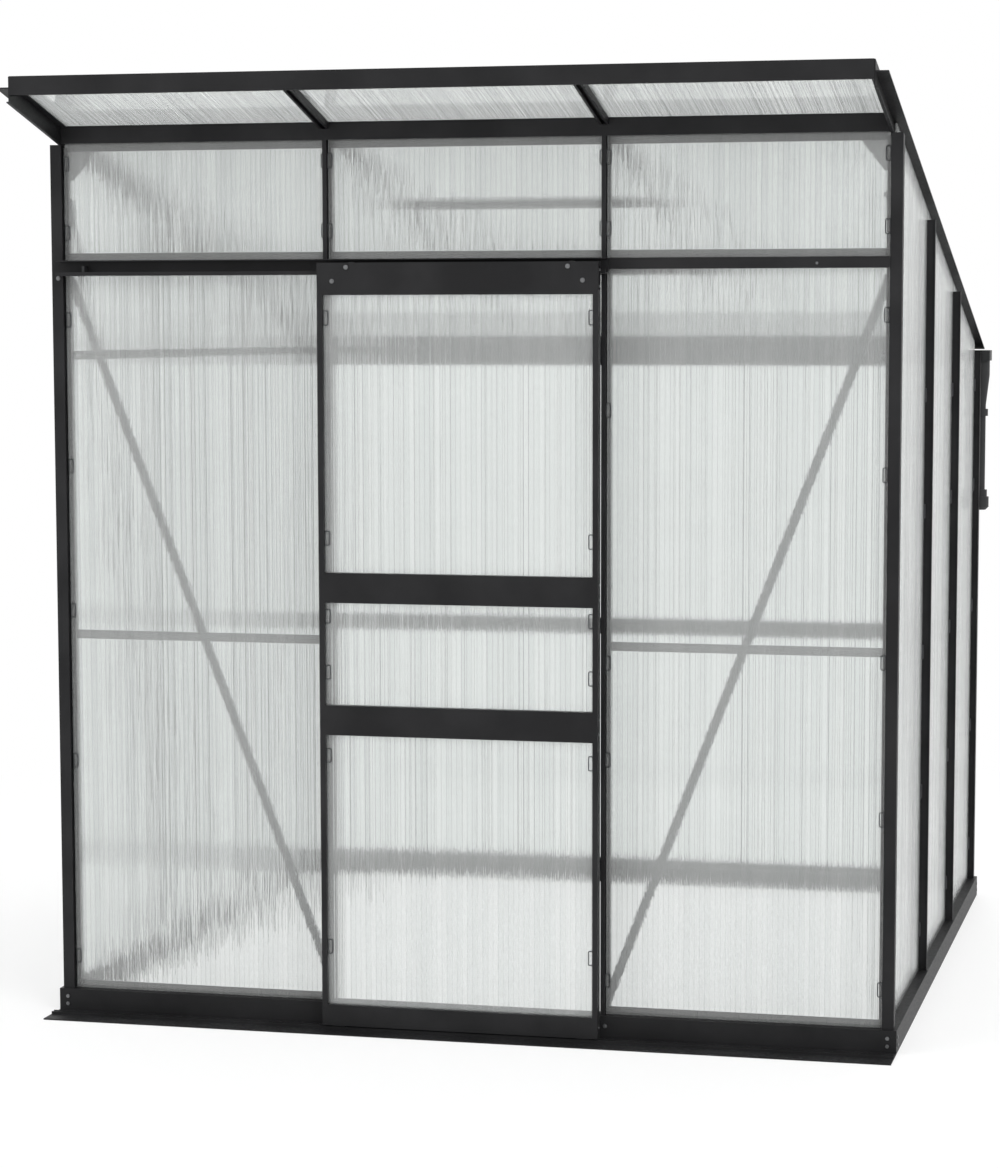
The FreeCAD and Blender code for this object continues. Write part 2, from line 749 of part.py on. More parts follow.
def make_track():
    start = track_inset - half_width
    end = front_pitch / 2 + seat_width / 2
    front, back = head_depth - track_reach, head_depth
    top = track_z + track_height
    parts = [box(start, end, back - alloy, back, track_z, top)]
    parts.append(box(start, end, front, back, top - alloy, top))
    parts.append(box(start, end, front, back, track_z, track_z + alloy))
    parts.append(box(start, end, front, front + alloy, track_z, track_z + track_lip))
    save("door_top_track", [fuse(parts)])
    stops = []
    for x in (-roller_x - door_travel - roller_radius - roller_play - stop_width,
              roller_x + roller_radius + roller_play):
        stops.append(box(x, x + stop_width, roller_y() - roller_width / 2, back - alloy, track_z + alloy,
                         roller_z + roller_radius / 2))
    save("door_track_stops", stops)
    middle = pane_y + pane / 2
    inner = guide_width / 2 + guide_play
    sill = [box(-half_width, half_width, -sill_depth, 0, 0, sill_thick)]
    for y in (middle - inner - alloy, middle + inner):
        sill.append(box(-half_width, half_width, y, y + alloy, 0, sill_thick + sill_rib))
    save("door_sill_track", [fuse(sill)])


def wall_nuts(places, depth):
    return [hexagon(x, depth, z, nut_size, nut_height) for x, z in places]


def make_bolts():
    bolts = []
    x0, z0, x1, z1 = front_brace_ends()
    rail_z = front_rail_z + strap_width / 2
    for side in (-1, 1):
        ends = [(-side * x0, z0), (-side * x1, z1)]
        bolts += wall_nuts(ends, inner_depth + 2 * alloy)
        bolts += [hexagon(x, inner_depth, z, nut_size, alloy) for x, z in ends]
        bolts += wall_nuts([(-side * x0, rail_z), (-side * x1, rail_z)], inner_depth + alloy)
        bolts += wall_nuts([(-side * x0, beam_z - gusset_leg / 2)], inner_depth + alloy)
        bolts += wall_nuts([(side * (half_width - leg_tip - gusset_leg / 2), beam_z + nut_size)],
                           inner_depth + alloy)
    rear_z = rear_rail_z + rear_rail_height / 2
    rear = [(x, rear_z) for x in (x0, x1, -x1, -x0)]
    bolts += [on_wall(nut, "rear") for nut in wall_nuts(rear, inner_depth + alloy)]
    for wall, sense in (("left", -1), ("right", 1)):
        for a, za, b, zb in side_brace_ends():
            nuts = wall_nuts([(sense * a, za), (sense * b, zb)], inner_depth + alloy)
            bolts += [on_wall(nut, wall) for nut in nuts]
        front, end, z = side_tie_ends()
        places = [(sense * x, z) for x in (front, -side_pitch / 2, side_pitch / 2)]
        nuts = wall_nuts(places, inner_depth + 2 * alloy)
        nuts += [hexagon(x, inner_depth, z, nut_size, alloy) for x, z in places]
        bolts += [on_wall(nut, wall) for nut in nuts]
    for wall, length in wall_lengths():
        x = length / 2 - screw_inset
        for place in (-x, x):
            for z in (base_height / 3, base_height * 2 / 3):
                screw = hexagon(place, -screw_height, z, screw_size, screw_height)
                bolts.append(on_wall(screw, wall))
    save("frame_bolts", bolts)


os.makedirs("parts", exist_ok=True)
make_base()
make_corners()
make_front_wall()
make_side_walls()
make_rear_wall()
make_roof()
make_vent()
make_gutter()
make_downpipe()
make_wall_panes()
make_door()
make_rollers()
make_track()
make_bolts()
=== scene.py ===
import math

import bmesh
import bpy
from mathutils import Matrix, Vector


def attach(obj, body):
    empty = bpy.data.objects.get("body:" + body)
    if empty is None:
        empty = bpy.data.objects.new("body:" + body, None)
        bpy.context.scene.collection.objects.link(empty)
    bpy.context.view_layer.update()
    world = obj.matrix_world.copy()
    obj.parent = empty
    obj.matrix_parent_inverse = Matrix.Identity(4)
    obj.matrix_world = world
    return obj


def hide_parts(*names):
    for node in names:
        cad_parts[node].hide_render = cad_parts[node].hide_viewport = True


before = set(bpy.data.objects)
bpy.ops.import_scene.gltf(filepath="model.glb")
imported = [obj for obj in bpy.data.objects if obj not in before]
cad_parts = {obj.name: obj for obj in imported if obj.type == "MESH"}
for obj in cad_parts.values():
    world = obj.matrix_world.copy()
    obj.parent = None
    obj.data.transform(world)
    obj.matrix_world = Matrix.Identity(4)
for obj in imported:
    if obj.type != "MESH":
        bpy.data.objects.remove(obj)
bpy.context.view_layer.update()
mm = 0.001


# colours are written as sRGB hex and used as linear
def linear(hexColour):
    parts = [int(hexColour[i:i + 2], 16) / 255 for i in (1, 3, 5)]
    return [c / 12.92 if c <= 0.04045 else ((c + 0.055) / 1.055) ** 2.4 for c in parts] + [1.0]


# one node with its settings, and its inputs as values or links; a node stands for its first output
def addNode(tree, kind, inputs=None, **settings):
    node = tree.nodes.new(kind)
    for name, value in settings.items():
        setattr(node, name, value)
    for name, value in (inputs or {}).items():
        if isinstance(value, bpy.types.Node):
            value = value.outputs[0]
        if isinstance(value, bpy.types.NodeSocket):
            tree.links.new(value, node.inputs[name])
        else:
            node.inputs[name].default_value = value
    return node


# an empty material, its tree, and the place on the piece that its patterns read
def startMaterial(name):
    material = bpy.data.materials.new(name)
    material.use_nodes = True
    tree = material.node_tree
    tree.nodes.clear()
    return material, tree, addNode(tree, "ShaderNodeTexCoord").outputs["Object"]


def finishMaterial(material, looks):
    shader = addNode(material.node_tree, "ShaderNodeBsdfPrincipled", looks)
    addNode(material.node_tree, "ShaderNodeOutputMaterial", {"Surface": shader})
    return material


# powder-coated aluminium: a baked polyester film, near black and satin, a little cloudy, with a fine peel
def makePowderCoat():
    coat = {"colour": "#1e1e1f", "paler": "#272728", "cloud": 160 * mm, "cloudy": (0.35, 0.65),
            "peel": 6 * mm,  # really 2 mm, drawn coarser to show
            "peelRange": (0.3, 0.7), "peelDepth": 0.12 * mm, "gloss": (0.4, 0.52), "specular": 0.12}
    material, tree, place = startMaterial("powderCoatedAluminium")
    cloud = addNode(tree, "ShaderNodeTexNoise", {"Vector": place, "Scale": 1 / coat["cloud"], "Detail": 4.0})
    peel = addNode(tree, "ShaderNodeTexNoise", {"Vector": place, "Scale": 1 / coat["peel"], "Detail": 2.0})
    shade = addNode(tree, "ShaderNodeMapRange", {"Value": cloud, "From Min": coat["cloudy"][0],
                                                 "From Max": coat["cloudy"][1]})
    tint = addNode(tree, "ShaderNodeMix", {0: shade, 6: linear(coat["colour"]), 7: linear(coat["paler"])},
                   data_type="RGBA")
    rough = addNode(tree, "ShaderNodeMapRange", {"Value": peel, "From Min": coat["peelRange"][0],
                                                 "From Max": coat["peelRange"][1], "To Min": coat["gloss"][0],
                                                 "To Max": coat["gloss"][1]})
    bump = addNode(tree, "ShaderNodeBump", {"Height": peel, "Distance": coat["peelDepth"], "Strength": 0.6})
    return finishMaterial(material, {"Base Color": tint.outputs[2], "Roughness": rough, "Normal": bump,
                                     "Specular IOR Level": coat["specular"]})


# black uPVC of the rain goods: injection moulded, matt, with a fine spark texture
def makeBlackPlastic():
    plastic = {"colour": "#232425", "paler": "#2d2e2f", "spark": 3 * mm, "flow": 60 * mm, "depth": 0.08 * mm,
               "gloss": (0.45, 0.62), "specular": 0.35}
    material, tree, place = startMaterial("mouldedBlackPvc")
    flow = addNode(tree, "ShaderNodeTexNoise", {"Vector": place, "Scale": 1 / plastic["flow"], "Detail": 3.0,
                                                "Distortion": 0.6})
    spark = addNode(tree, "ShaderNodeTexNoise", {"Vector": place, "Scale": 1 / plastic["spark"],
                                                 "Detail": 1.0})
    tint = addNode(tree, "ShaderNodeMix", {0: flow, 6: linear(plastic["colour"]),
                                           7: linear(plastic["paler"])}, data_type="RGBA")
    rough = addNode(tree, "ShaderNodeMapRange", {"Value": spark, "To Min": plastic["gloss"][0],
                                                 "To Max": plastic["gloss"][1]})
    bump = addNode(tree, "ShaderNodeBump", {"Height": spark, "Distance": plastic["depth"], "Strength": 0.5})
    return finishMaterial(material, {"Base Color": tint.outputs[2], "Roughness": rough, "Normal": bump,
                                     "Specular IOR Level": plastic["specular"]})


# turned nylon of the door rollers: dark grey, waxy, with fine turning rings across the rim
def makeNylon():
    nylon = {"colour": "#3a3b3d", "paler": "#474849", "gloss": (0.36, 0.5),
             "ring": 7.54 * mm}  # really about 1 mm, drawn coarser to show
    waveTurn = 20.0  # radians that a wave texture of scale 1 goes through in a metre
    material, tree, place = startMaterial("turnedNylon")
    scale = 2 * math.pi / nylon["ring"] / waveTurn
    wave = addNode(tree, "ShaderNodeTexWave", {"Vector": place, "Scale": scale, "Distortion": 1.0,
                                               "Detail": 2.0}, bands_direction="Y")
    ring = wave.outputs["Fac"]
    tint = addNode(tree, "ShaderNodeMix", {0: ring, 6: linear(nylon["colour"]), 7: linear(nylon["paler"])},
                   data_type="RGBA")
    rough = addNode(tree, "ShaderNodeMapRange", {"Value": ring, "To Min": nylon["gloss"][0],
                                                 "To Max": nylon["gloss"][1]})
    return finishMaterial(material, {"Base Color": tint.outputs[2], "Roughness": rough})


# a metal whose skin is mottled in colour and gloss
def makeMetal(name, metal):
    material, tree, place = startMaterial(name)
    patch = addNode(tree, "ShaderNodeTexNoise", {"Vector": place, "Scale": 1 / metal["patch"],
                                                 "Detail": metal["detail"]})
    tint = addNode(tree, "ShaderNodeMix", {0: patch, 6: linear(metal["colour"]), 7: linear(metal["paler"])},
                   data_type="RGBA")
    rough = addNode(tree, "ShaderNodeMapRange", {"Value": patch, "To Min": metal["gloss"][0],
                                                 "To Max": metal["gloss"][1]})
    return finishMaterial(material, {"Base Color": tint.outputs[2], "Roughness": rough,
                                     "Metallic": metal["metallic"]})


# zinc-plated steel of the screws, nuts and pins: grey, passivated unevenly
zincPlate = {"colour": "#717274", "paler": "#8e8f90", "patch": 4 * mm, "detail": 4.0, "gloss": (0.34, 0.52),
             "metallic": 1.0}
# drawn spring wire of the glazing clips: a dull galvanised skin with draw marks
drawnWire = {"colour": "#4b4c4e", "paler": "#646567", "patch": 5 * mm, "detail": 3.0, "gloss": (0.35, 0.55),
             "metallic": 0.85}

# extruded twin-wall polycarbonate has two looks: the skins, whose draw lines smear what is far behind them
# sideways and leave what is close sharp, and the faint grey lines where the webs between them show through
# the share of a sheet's tone that goes by flute is painted highlight and painted shade; the rest is a faint
# random haze
sheet = {"pitch": 11.5 * mm, "web": 1.3 * mm, "ripple": 0.28 * mm, "thickness": 4 * mm, "seed": 7,
         "skinDark": "#eff2f1", "skinPale": "#fafcfb", "webDark": "#dadddc", "webPale": "#eceeed",
         "skinClear": 0.83, "webClear": 0.76, "gloss": (0.03, 0.06), "haze": 90 * mm, "fluteHighlightAndShadeShare": 0.75,
         "ior": 1.58}


def makeSheetLook(name, dark, pale, clear):
    material, tree, place = startMaterial(name)
    # each flute of a sheet has a tone of its own, by its count across the sheet: painted highlight and
    # painted shade in place of the bright and dark lines that light makes through the flutes
    flute = addNode(tree, "ShaderNodeAttribute", attribute_name="flute").outputs["Fac"]
    whole = addNode(tree, "ShaderNodeMath", {0: flute}, operation="FLOOR")
    chance = addNode(tree, "ShaderNodeTexWhiteNoise", {"W": whole}, noise_dimensions="1D").outputs["Value"]
    haze = addNode(tree, "ShaderNodeTexNoise", {"Vector": place, "Scale": 1 / sheet["haze"], "Detail": 3.0})
    fluteHighlightAndShade = addNode(tree, "ShaderNodeMath", {0: chance, 1: sheet["fluteHighlightAndShadeShare"]}, operation="MULTIPLY")
    cloudy = addNode(tree, "ShaderNodeMath", {0: haze, 1: 1 - sheet["fluteHighlightAndShadeShare"], 2: fluteHighlightAndShade},
                     operation="MULTIPLY_ADD")
    tint = addNode(tree, "ShaderNodeMix", {0: cloudy, 6: linear(dark), 7: linear(pale)}, data_type="RGBA")
    rough = addNode(tree, "ShaderNodeMapRange", {"Value": haze, "To Min": sheet["gloss"][0],
                                                 "To Max": sheet["gloss"][1]})
    return finishMaterial(material, {"Base Color": tint.outputs[2], "Roughness": rough, "IOR": sheet["ior"],
                                     "Transmission Weight": clear})


zinc = makeMetal("zincPlatedSteel", zincPlate)
springWire = makeMetal("galvanisedSpringWire", drawnWire)
sheetSkin = makeSheetLook("twinWallPolycarbonateSkin", sheet["skinDark"], sheet["skinPale"],
                          sheet["skinClear"])
sheetWeb = makeSheetLook("twinWallPolycarbonateWeb", sheet["webDark"], sheet["webPale"], sheet["webClear"])
finishes = {"powder_coated_aluminium": makePowderCoat(), "black_plastic": makeBlackPlastic(),
            "roller_nylon": makeNylon(), "zinc_plated_steel": zinc, "twinwall_polycarbonate": sheetSkin}
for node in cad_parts.values():
    for materialSlot in node.material_slots:
        materialSlot.material = finishes[materialSlot.material.name.split(".")[0]]
print("materials on", len(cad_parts), "CAD nodes")


# a tree with its named inputs
def startTree(name, inputs):
    tree = bpy.data.node_groups.new(name, "GeometryNodeTree")
    tree.interface.new_socket("Geometry", in_out="INPUT", socket_type="NodeSocketGeometry")
    for label, kind in inputs.items():
        tree.interface.new_socket(label, in_out="INPUT", socket_type="NodeSocket" + kind)
    tree.interface.new_socket("Geometry", in_out="OUTPUT", socket_type="NodeSocketGeometry")
    return tree, tree.nodes.new("NodeGroupInput").outputs


# runs a tree on a seed mesh and gives the plain mesh that it makes
def grow(seed, tree, values):
    carrier = bpy.data.objects.new("carrier", seed)
    bpy.context.scene.collection.objects.link(carrier)
    modifier = carrier.modifiers.new("grow", "NODES")
    modifier.node_group = tree
    for item in tree.interface.items_tree:
        if item.in_out == "INPUT" and item.name in values:
            modifier[item.identifier] = values[item.name]
    grown = bpy.data.meshes.new_from_object(carrier.evaluated_get(bpy.context.evaluated_depsgraph_get()))
    carrier.modifiers.clear()
    bpy.data.objects.remove(carrier)
    return grown


def showPiece(name, mesh, body):
    piece = bpy.data.objects.new(name, mesh)
    mesh.name = name
    bpy.context.scene.collection.objects.link(piece)
    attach(piece, body)
    return piece


# the separate plates of a pane node, each merged into one closed mesh
def platesOf(nodeName):
    work = bmesh.new()
    work.from_mesh(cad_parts[nodeName].data)
    bmesh.ops.remove_doubles(work, verts=work.verts, dist=0.01 * mm)
    waiting, plates = set(work.faces), []
    while waiting:
        part, reached = set(), [min(waiting, key=lambda f: f.index)]
        while reached:
            face = reached.pop()
            if face in part:
                continue
            part.add(face)
            reached += [f for e in face.edges for f in e.link_faces if f not in part]
        waiting -= part
        corners = sorted({v for f in part for v in f.verts}, key=lambda v: v.index)
        number = {v: i for i, v in enumerate(corners)}
        faces = [[number[v] for v in f.verts] for f in sorted(part, key=lambda f: f.index)]
        plate = bpy.data.meshes.new("plate")
        plate.from_pydata([v.co[:] for v in corners], [], faces)
        plates.append(plate)
    work.free()
    return plates


# a twin-wall sheet in the outline of a plate: a row of flutes side by side, with fine draw lines in the outer
# skin between two web lines, drawn deeper and wider than the real ones so that they show
def makeSheetTree():
    tree, given = startTree("twinWallSheet", {"Along": "Vector", "Run": "Vector", "Out": "Vector",
                                              "Flute Pitch": "Float", "Web Width": "Float", "Ripple": "Float",
                                              "Thickness": "Float", "First Flute": "Float", "Seed": "Int",
                                              "Skin": "Material", "Web": "Material"})
    number, vector = "ShaderNodeMath", "ShaderNodeVectorMath"
    steps = 16.0  # columns a flute: the web line's two edges, and the draw lines between
    # how many whole flutes the plate takes, and a grid with their columns
    edges = addNode(tree, "GeometryNodeBoundBox", {"Geometry": given["Geometry"]}).outputs
    span = addNode(tree, vector, {0: edges["Max"], 1: edges["Min"]}, operation="SUBTRACT")
    width = addNode(tree, vector, {0: span, 1: given["Along"]}, operation="DOT_PRODUCT").outputs["Value"]
    middle = addNode(tree, vector, {0: span, 1: (0.5, 0.5, 0.5), 2: edges["Min"]}, operation="MULTIPLY_ADD")
    fitted = addNode(tree, number, {0: width, 1: given["Flute Pitch"]}, operation="DIVIDE")
    flutes = addNode(tree, number, {0: fitted}, operation="FLOOR")
    pitch = addNode(tree, number, {0: width, 1: flutes}, operation="DIVIDE")
    columns = addNode(tree, number, {0: flutes, 1: steps}, operation="MULTIPLY")
    lines = addNode(tree, number, {0: columns, 1: 1.0}, operation="ADD")
    grid = addNode(tree, "GeometryNodeMeshGrid", {"Size X": 1.0, "Size Y": 1.0, "Vertices X": lines,
                                                  "Vertices Y": 2})
    at = addNode(tree, "ShaderNodeSeparateXYZ", {0: addNode(tree, "GeometryNodeInputPosition")}).outputs
    # a column's flute, and its place in that flute
    fromEdge = addNode(tree, number, {0: at["X"], 1: 0.5}, operation="ADD")
    counted = addNode(tree, number, {0: fromEdge, 1: columns}, operation="MULTIPLY")
    column = addNode(tree, number, {0: counted}, operation="ROUND")
    passed = addNode(tree, number, {0: column, 1: steps}, operation="DIVIDE")
    whole = addNode(tree, number, {0: passed}, operation="FLOOR")
    kind = addNode(tree, number, {0: column, 1: steps}, operation="MODULO")
    share = addNode(tree, "ShaderNodeMapRange", {"Value": kind, "From Min": 1.0, "From Max": steps})
    skinWidth = addNode(tree, number, {0: pitch, 1: given["Web Width"]}, operation="SUBTRACT")
    offWeb = addNode(tree, number, {0: kind, 1: 0.5}, operation="GREATER_THAN")
    webPart = addNode(tree, number, {0: offWeb, 1: given["Web Width"]}, operation="MULTIPLY")
    inFlute = addNode(tree, number, {0: share, 1: skinWidth, 2: webPart}, operation="MULTIPLY_ADD")
    step = addNode(tree, number, {0: whole, 1: pitch, 2: inFlute}, operation="MULTIPLY_ADD")
    half = addNode(tree, number, {0: width, 1: 0.5}, operation="MULTIPLY")
    across = addNode(tree, number, {0: step, 1: half}, operation="SUBTRACT")
    # how deep a draw line is there, none over a web
    onSkin = addNode(tree, number, {0: kind, 1: 1.5}, operation="GREATER_THAN")
    tally = addNode(tree, number, {0: given["First Flute"], 1: steps, 2: column}, operation="MULTIPLY_ADD")
    chance = addNode(tree, "FunctionNodeRandomValue", {2: 0.0, 3: given["Ripple"], "ID": tally,
                                                       "Seed": given["Seed"]}, data_type="FLOAT").outputs[1]
    sunk = addNode(tree, number, {0: chance, 1: onSkin}, operation="MULTIPLY")
    # rays along the flutes find a column's two ends, and stay just inside the plate
    safe = addNode(tree, number, {0: half, 1: 0.4 * mm}, operation="SUBTRACT")
    farSafe = addNode(tree, number, {0: safe, 1: -1.0}, operation="MULTIPLY")
    inside = addNode(tree, "ShaderNodeClamp", {"Value": across, "Min": farSafe, "Max": safe})
    source = addNode(tree, vector, {0: given["Along"], 1: inside, 2: middle}, operation="MULTIPLY_ADD")
    reach, ends = 4.0, []
    for side in (-1.0, 1.0):
        start = addNode(tree, vector, {0: given["Run"], 1: (side * reach,) * 3, 2: source},
                        operation="MULTIPLY_ADD")
        aim = addNode(tree, vector, {0: given["Run"], "Scale": -side}, operation="SCALE")
        ray = addNode(tree, "GeometryNodeRaycast", {"Target Geometry": given["Geometry"],
                                                    "Source Position": start, "Ray Direction": aim,
                                                    "Ray Length": 2 * reach})
        ends.append(ray.outputs["Hit Position"])
    upper = addNode(tree, number, {0: at["Y"], 1: 0.0}, operation="GREATER_THAN")
    end = addNode(tree, "GeometryNodeSwitch", {"Switch": upper, "False": ends[0], "True": ends[1]},
                  input_type="VECTOR")
    # the outer skin, with its flute count and its depth kept, then the inner skin, which is flat
    missing = addNode(tree, number, {0: across, 1: inside}, operation="SUBTRACT")
    height = addNode(tree, number, {0: given["Thickness"], 1: 0.5}, operation="MULTIPLY")
    lowered = addNode(tree, number, {0: height, 1: sunk}, operation="SUBTRACT")
    onLine = addNode(tree, vector, {0: given["Along"], 1: missing, 2: end}, operation="MULTIPLY_ADD")
    place = addNode(tree, vector, {0: given["Out"], 1: lowered, 2: onLine}, operation="MULTIPLY_ADD")
    count = addNode(tree, number, {0: step, 1: pitch}, operation="DIVIDE")
    ownCount = addNode(tree, number, {0: count, 1: given["First Flute"]}, operation="ADD")
    marked = addNode(tree, "GeometryNodeStoreNamedAttribute", {"Geometry": grid, "Name": "flute",
                                                               "Value": ownCount})
    marked = addNode(tree, "GeometryNodeStoreNamedAttribute", {"Geometry": marked, "Name": "sunk",
                                                               "Value": sunk})
    front = addNode(tree, "GeometryNodeSetPosition", {"Geometry": marked, "Position": place})
    inward = addNode(tree, number, {0: given["Thickness"], 1: -1.0}, operation="MULTIPLY")
    wall = addNode(tree, "GeometryNodeExtrudeMesh", {"Mesh": front, "Offset": given["Out"],
                                                     "Offset Scale": inward, "Individual": False}).outputs
    depth = addNode(tree, "GeometryNodeInputNamedAttribute", {"Name": "sunk"}, data_type="FLOAT")
    level = addNode(tree, vector, {0: given["Out"], "Scale": depth}, operation="SCALE")
    back = addNode(tree, "GeometryNodeSetPosition", {"Geometry": wall["Mesh"], "Selection": wall["Top"],
                                                     "Offset": level})
    joined = addNode(tree, "GeometryNodeJoinGeometry")
    for skin in (front, back):
        tree.links.new(skin.outputs[0], joined.inputs[0])
    closed = addNode(tree, "GeometryNodeMergeByDistance", {"Geometry": joined, "Distance": 0.001 * mm})
    plain = addNode(tree, "GeometryNodeRealizeInstances", {"Geometry": closed})
    # the first part of each flute's count is its web line
    total = addNode(tree, "GeometryNodeInputNamedAttribute", {"Name": "flute"}, data_type="FLOAT")
    past = addNode(tree, number, {0: total}, operation="FRACT")
    webShare = addNode(tree, number, {0: given["Web Width"], 1: pitch}, operation="DIVIDE")
    onWeb = addNode(tree, number, {0: past, 1: webShare}, operation="LESS_THAN")
    skinned = addNode(tree, "GeometryNodeSetMaterial", {"Geometry": plain, "Material": given["Skin"]})
    webbed = addNode(tree, "GeometryNodeSetMaterial", {"Geometry": skinned, "Selection": onWeb,
                                                       "Material": given["Web"]})
    addNode(tree, "NodeGroupOutput", {0: webbed})
    return tree


# one mesh from several, with their materials and flute counts
def joinSheets(name, meshes):
    points, faces, looks, counts = [], [], [], []
    for mesh in meshes:
        start = len(points)
        points += [v.co[:] for v in mesh.vertices]
        faces += [[start + i for i in f.vertices] for f in mesh.polygons]
        looks += [mesh.materials[f.material_index] == sheetWeb for f in mesh.polygons]
        counts += [d.value for d in mesh.attributes["flute"].data]
    whole = bpy.data.meshes.new(name)
    whole.from_pydata(points, [], faces)
    whole.materials.append(sheetSkin)
    whole.materials.append(sheetWeb)
    whole.polygons.foreach_set("material_index", [int(look) for look in looks])
    whole.attributes.new("flute", "FLOAT", "POINT").data.foreach_set("value", counts)
    work = bmesh.new()
    work.from_mesh(whole)
    bmesh.ops.remove_doubles(work, verts=work.verts, dist=0.001 * mm)
    bmesh.ops.recalc_face_normals(work, faces=work.faces)
    work.to_mesh(whole)
    work.free()
    return whole


roofPitch = math.radians(14.1)
downSlope = (0.0, math.cos(roofPitch), -math.sin(roofPitch))
offSlope = (0.0, math.sin(roofPitch), math.cos(roofPitch))
right, left, rearward, forward = (1.0, 0.0, 0.0), (-1.0, 0.0, 0.0), (0.0, 1.0, 0.0), (0.0, -1.0, 0.0)
upright = (0.0, 0.0, 1.0)
# the pane node that each piece stands for, its body, and which way its flutes follow each other, run and face
sheets = {"front_sheets": ("front_panels", "frame", right, upright, forward),
          "transom_sheets": ("transom_panels", "frame", right, upright, forward),
          "rear_sheets": ("rear_panels", "frame", right, upright, rearward),
          "left_sheets": ("side_panels_left", "frame", rearward, upright, left),
          "right_sheets": ("side_panels_right", "frame", rearward, upright, right),
          "roof_sheets": ("roof_panels", "frame", right, downSlope, offSlope),
          "door_sheets": ("door_panels", "door", right, upright, forward),
          "vent_sheet": ("vent_panel", "vent", right, downSlope, offSlope)}
sheetTree = makeSheetTree()
firstFlute, countStep = 0.0, 64.0  # each sheet counts from a start of its own, so no two are toned alike
for name, (nodeName, body, along, run, out) in sheets.items():
    grown = []
    for plate in platesOf(nodeName):
        grown.append(grow(plate, sheetTree, {
            "Along": along, "Run": run, "Out": out, "Flute Pitch": sheet["pitch"], "Web Width": sheet["web"],
            "Ripple": sheet["ripple"], "Thickness": sheet["thickness"], "First Flute": firstFlute,
            "Seed": sheet["seed"], "Skin": sheetSkin, "Web": sheetWeb}))
        firstFlute += countStep
    piece = showPiece(name, joinSheets(name, grown), body)
    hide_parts(nodeName)
    print(name, len(grown), "sheets,", len(piece.data.polygons), "faces")


# copies of a shape on points, turned as each point says, in one material
def placeCopies(tree, given, shape):
    turn = addNode(tree, "GeometryNodeInputNamedAttribute", {"Name": "turn"}, data_type="FLOAT_VECTOR")
    turned = addNode(tree, "FunctionNodeEulerToRotation", {0: turn})
    placed = addNode(tree, "GeometryNodeInstanceOnPoints", {"Points": given["Geometry"], "Instance": shape,
                                                            "Rotation": turned})
    plain = addNode(tree, "GeometryNodeRealizeInstances", {"Geometry": placed})
    metal = addNode(tree, "GeometryNodeSetMaterial", {"Geometry": plain, "Material": given["Metal"]})
    addNode(tree, "NodeGroupOutput", {0: metal})


# a seed point for each place, with the turn that its axes give
def seedPoints(places):
    seed = bpy.data.meshes.new("seed")
    seed.from_pydata([place for place, axes in places], [], [])
    turns = [Matrix(axes).transposed().to_euler() for place, axes in places]
    attribute = seed.attributes.new("turn", "FLOAT_VECTOR", "POINT")
    attribute.data.foreach_set("vector", [angle for turn in turns for angle in turn])
    return seed


# bent wire loops that hold the sheets against the bars
def makeClipTree():
    tree, given = startTree("glazingClips", {"Wire": "Float", "Width": "Float", "Height": "Float",
                                             "Bend": "Float", "Metal": "Material"})
    loop = addNode(tree, "GeometryNodeCurvePrimitiveQuadrilateral",
                   {"Width": given["Width"], "Height": given["Height"]}, mode="RECTANGLE")
    rounded = addNode(tree, "GeometryNodeFilletCurve", {"Curve": loop, "Count": 2, "Radius": given["Bend"]},
                      mode="POLY")
    section = addNode(tree, "GeometryNodeCurvePrimitiveCircle", {"Resolution": 6, "Radius": given["Wire"]},
                      mode="RADIUS")
    wire = addNode(tree, "GeometryNodeCurveToMesh", {"Curve": rounded, "Profile Curve": section})
    placeCopies(tree, given, wire)
    return tree


# clip sizes in metres, and their places on the bars in millimetres
clip = {"wire": 1.2 * mm, "width": 10 * mm, "height": 31 * mm, "bend": 2.6 * mm,
        "lift": 0.16,  # tilt off the sheet at the bar
        "barSide": 7.4, "cornerSide": 925.0, "barAxis": 314.33, "doorSide": 297.6,
        "leftCorner": (1585, 1255, 926, 581, 126), "leftBar": (1585, 1255, 926, 581, 126),
        "rightBar": (1388, 835, 621, 128), "rightCorner": (1593, 1253, 850, 509, 136),
        "transom": (1933, 1780), "door": (1588, 1105, 932, 807, 621, 190),
        "wall": (150, 480, 810, 1140, 1410), "roof": (-150, 250, 650, 1050, 1450, 1830),
        "roofMiddle": (-150, 250, 1450, 1830)}
# the walls' outer faces, how deep the sheets lie in them, the roof's height over the front wall, the top of
# its sheets over that line, the door's sheets, and the wire's middle above a sheet
walls = {"front": -854.5, "rear": 1075.5, "side": 965.0, "middle": 110.5, "sheetFace": 23.5, "roof": 2010.0,
         "roofSheet": 11.0, "doorSheet": -900.0, "wireRest": 2.0}


# axes of a clip: across the sheet away from the bar, along the bar, and out of the sheet
def clipAxes(away, along, out):
    away, along, out = Vector(away), Vector(along), Vector(out)
    if away.cross(along).dot(out) < 0:
        along = -along
    tilt = Matrix.Rotation(clip["lift"], 3, along)
    return [tilt @ away, along, tilt @ out]


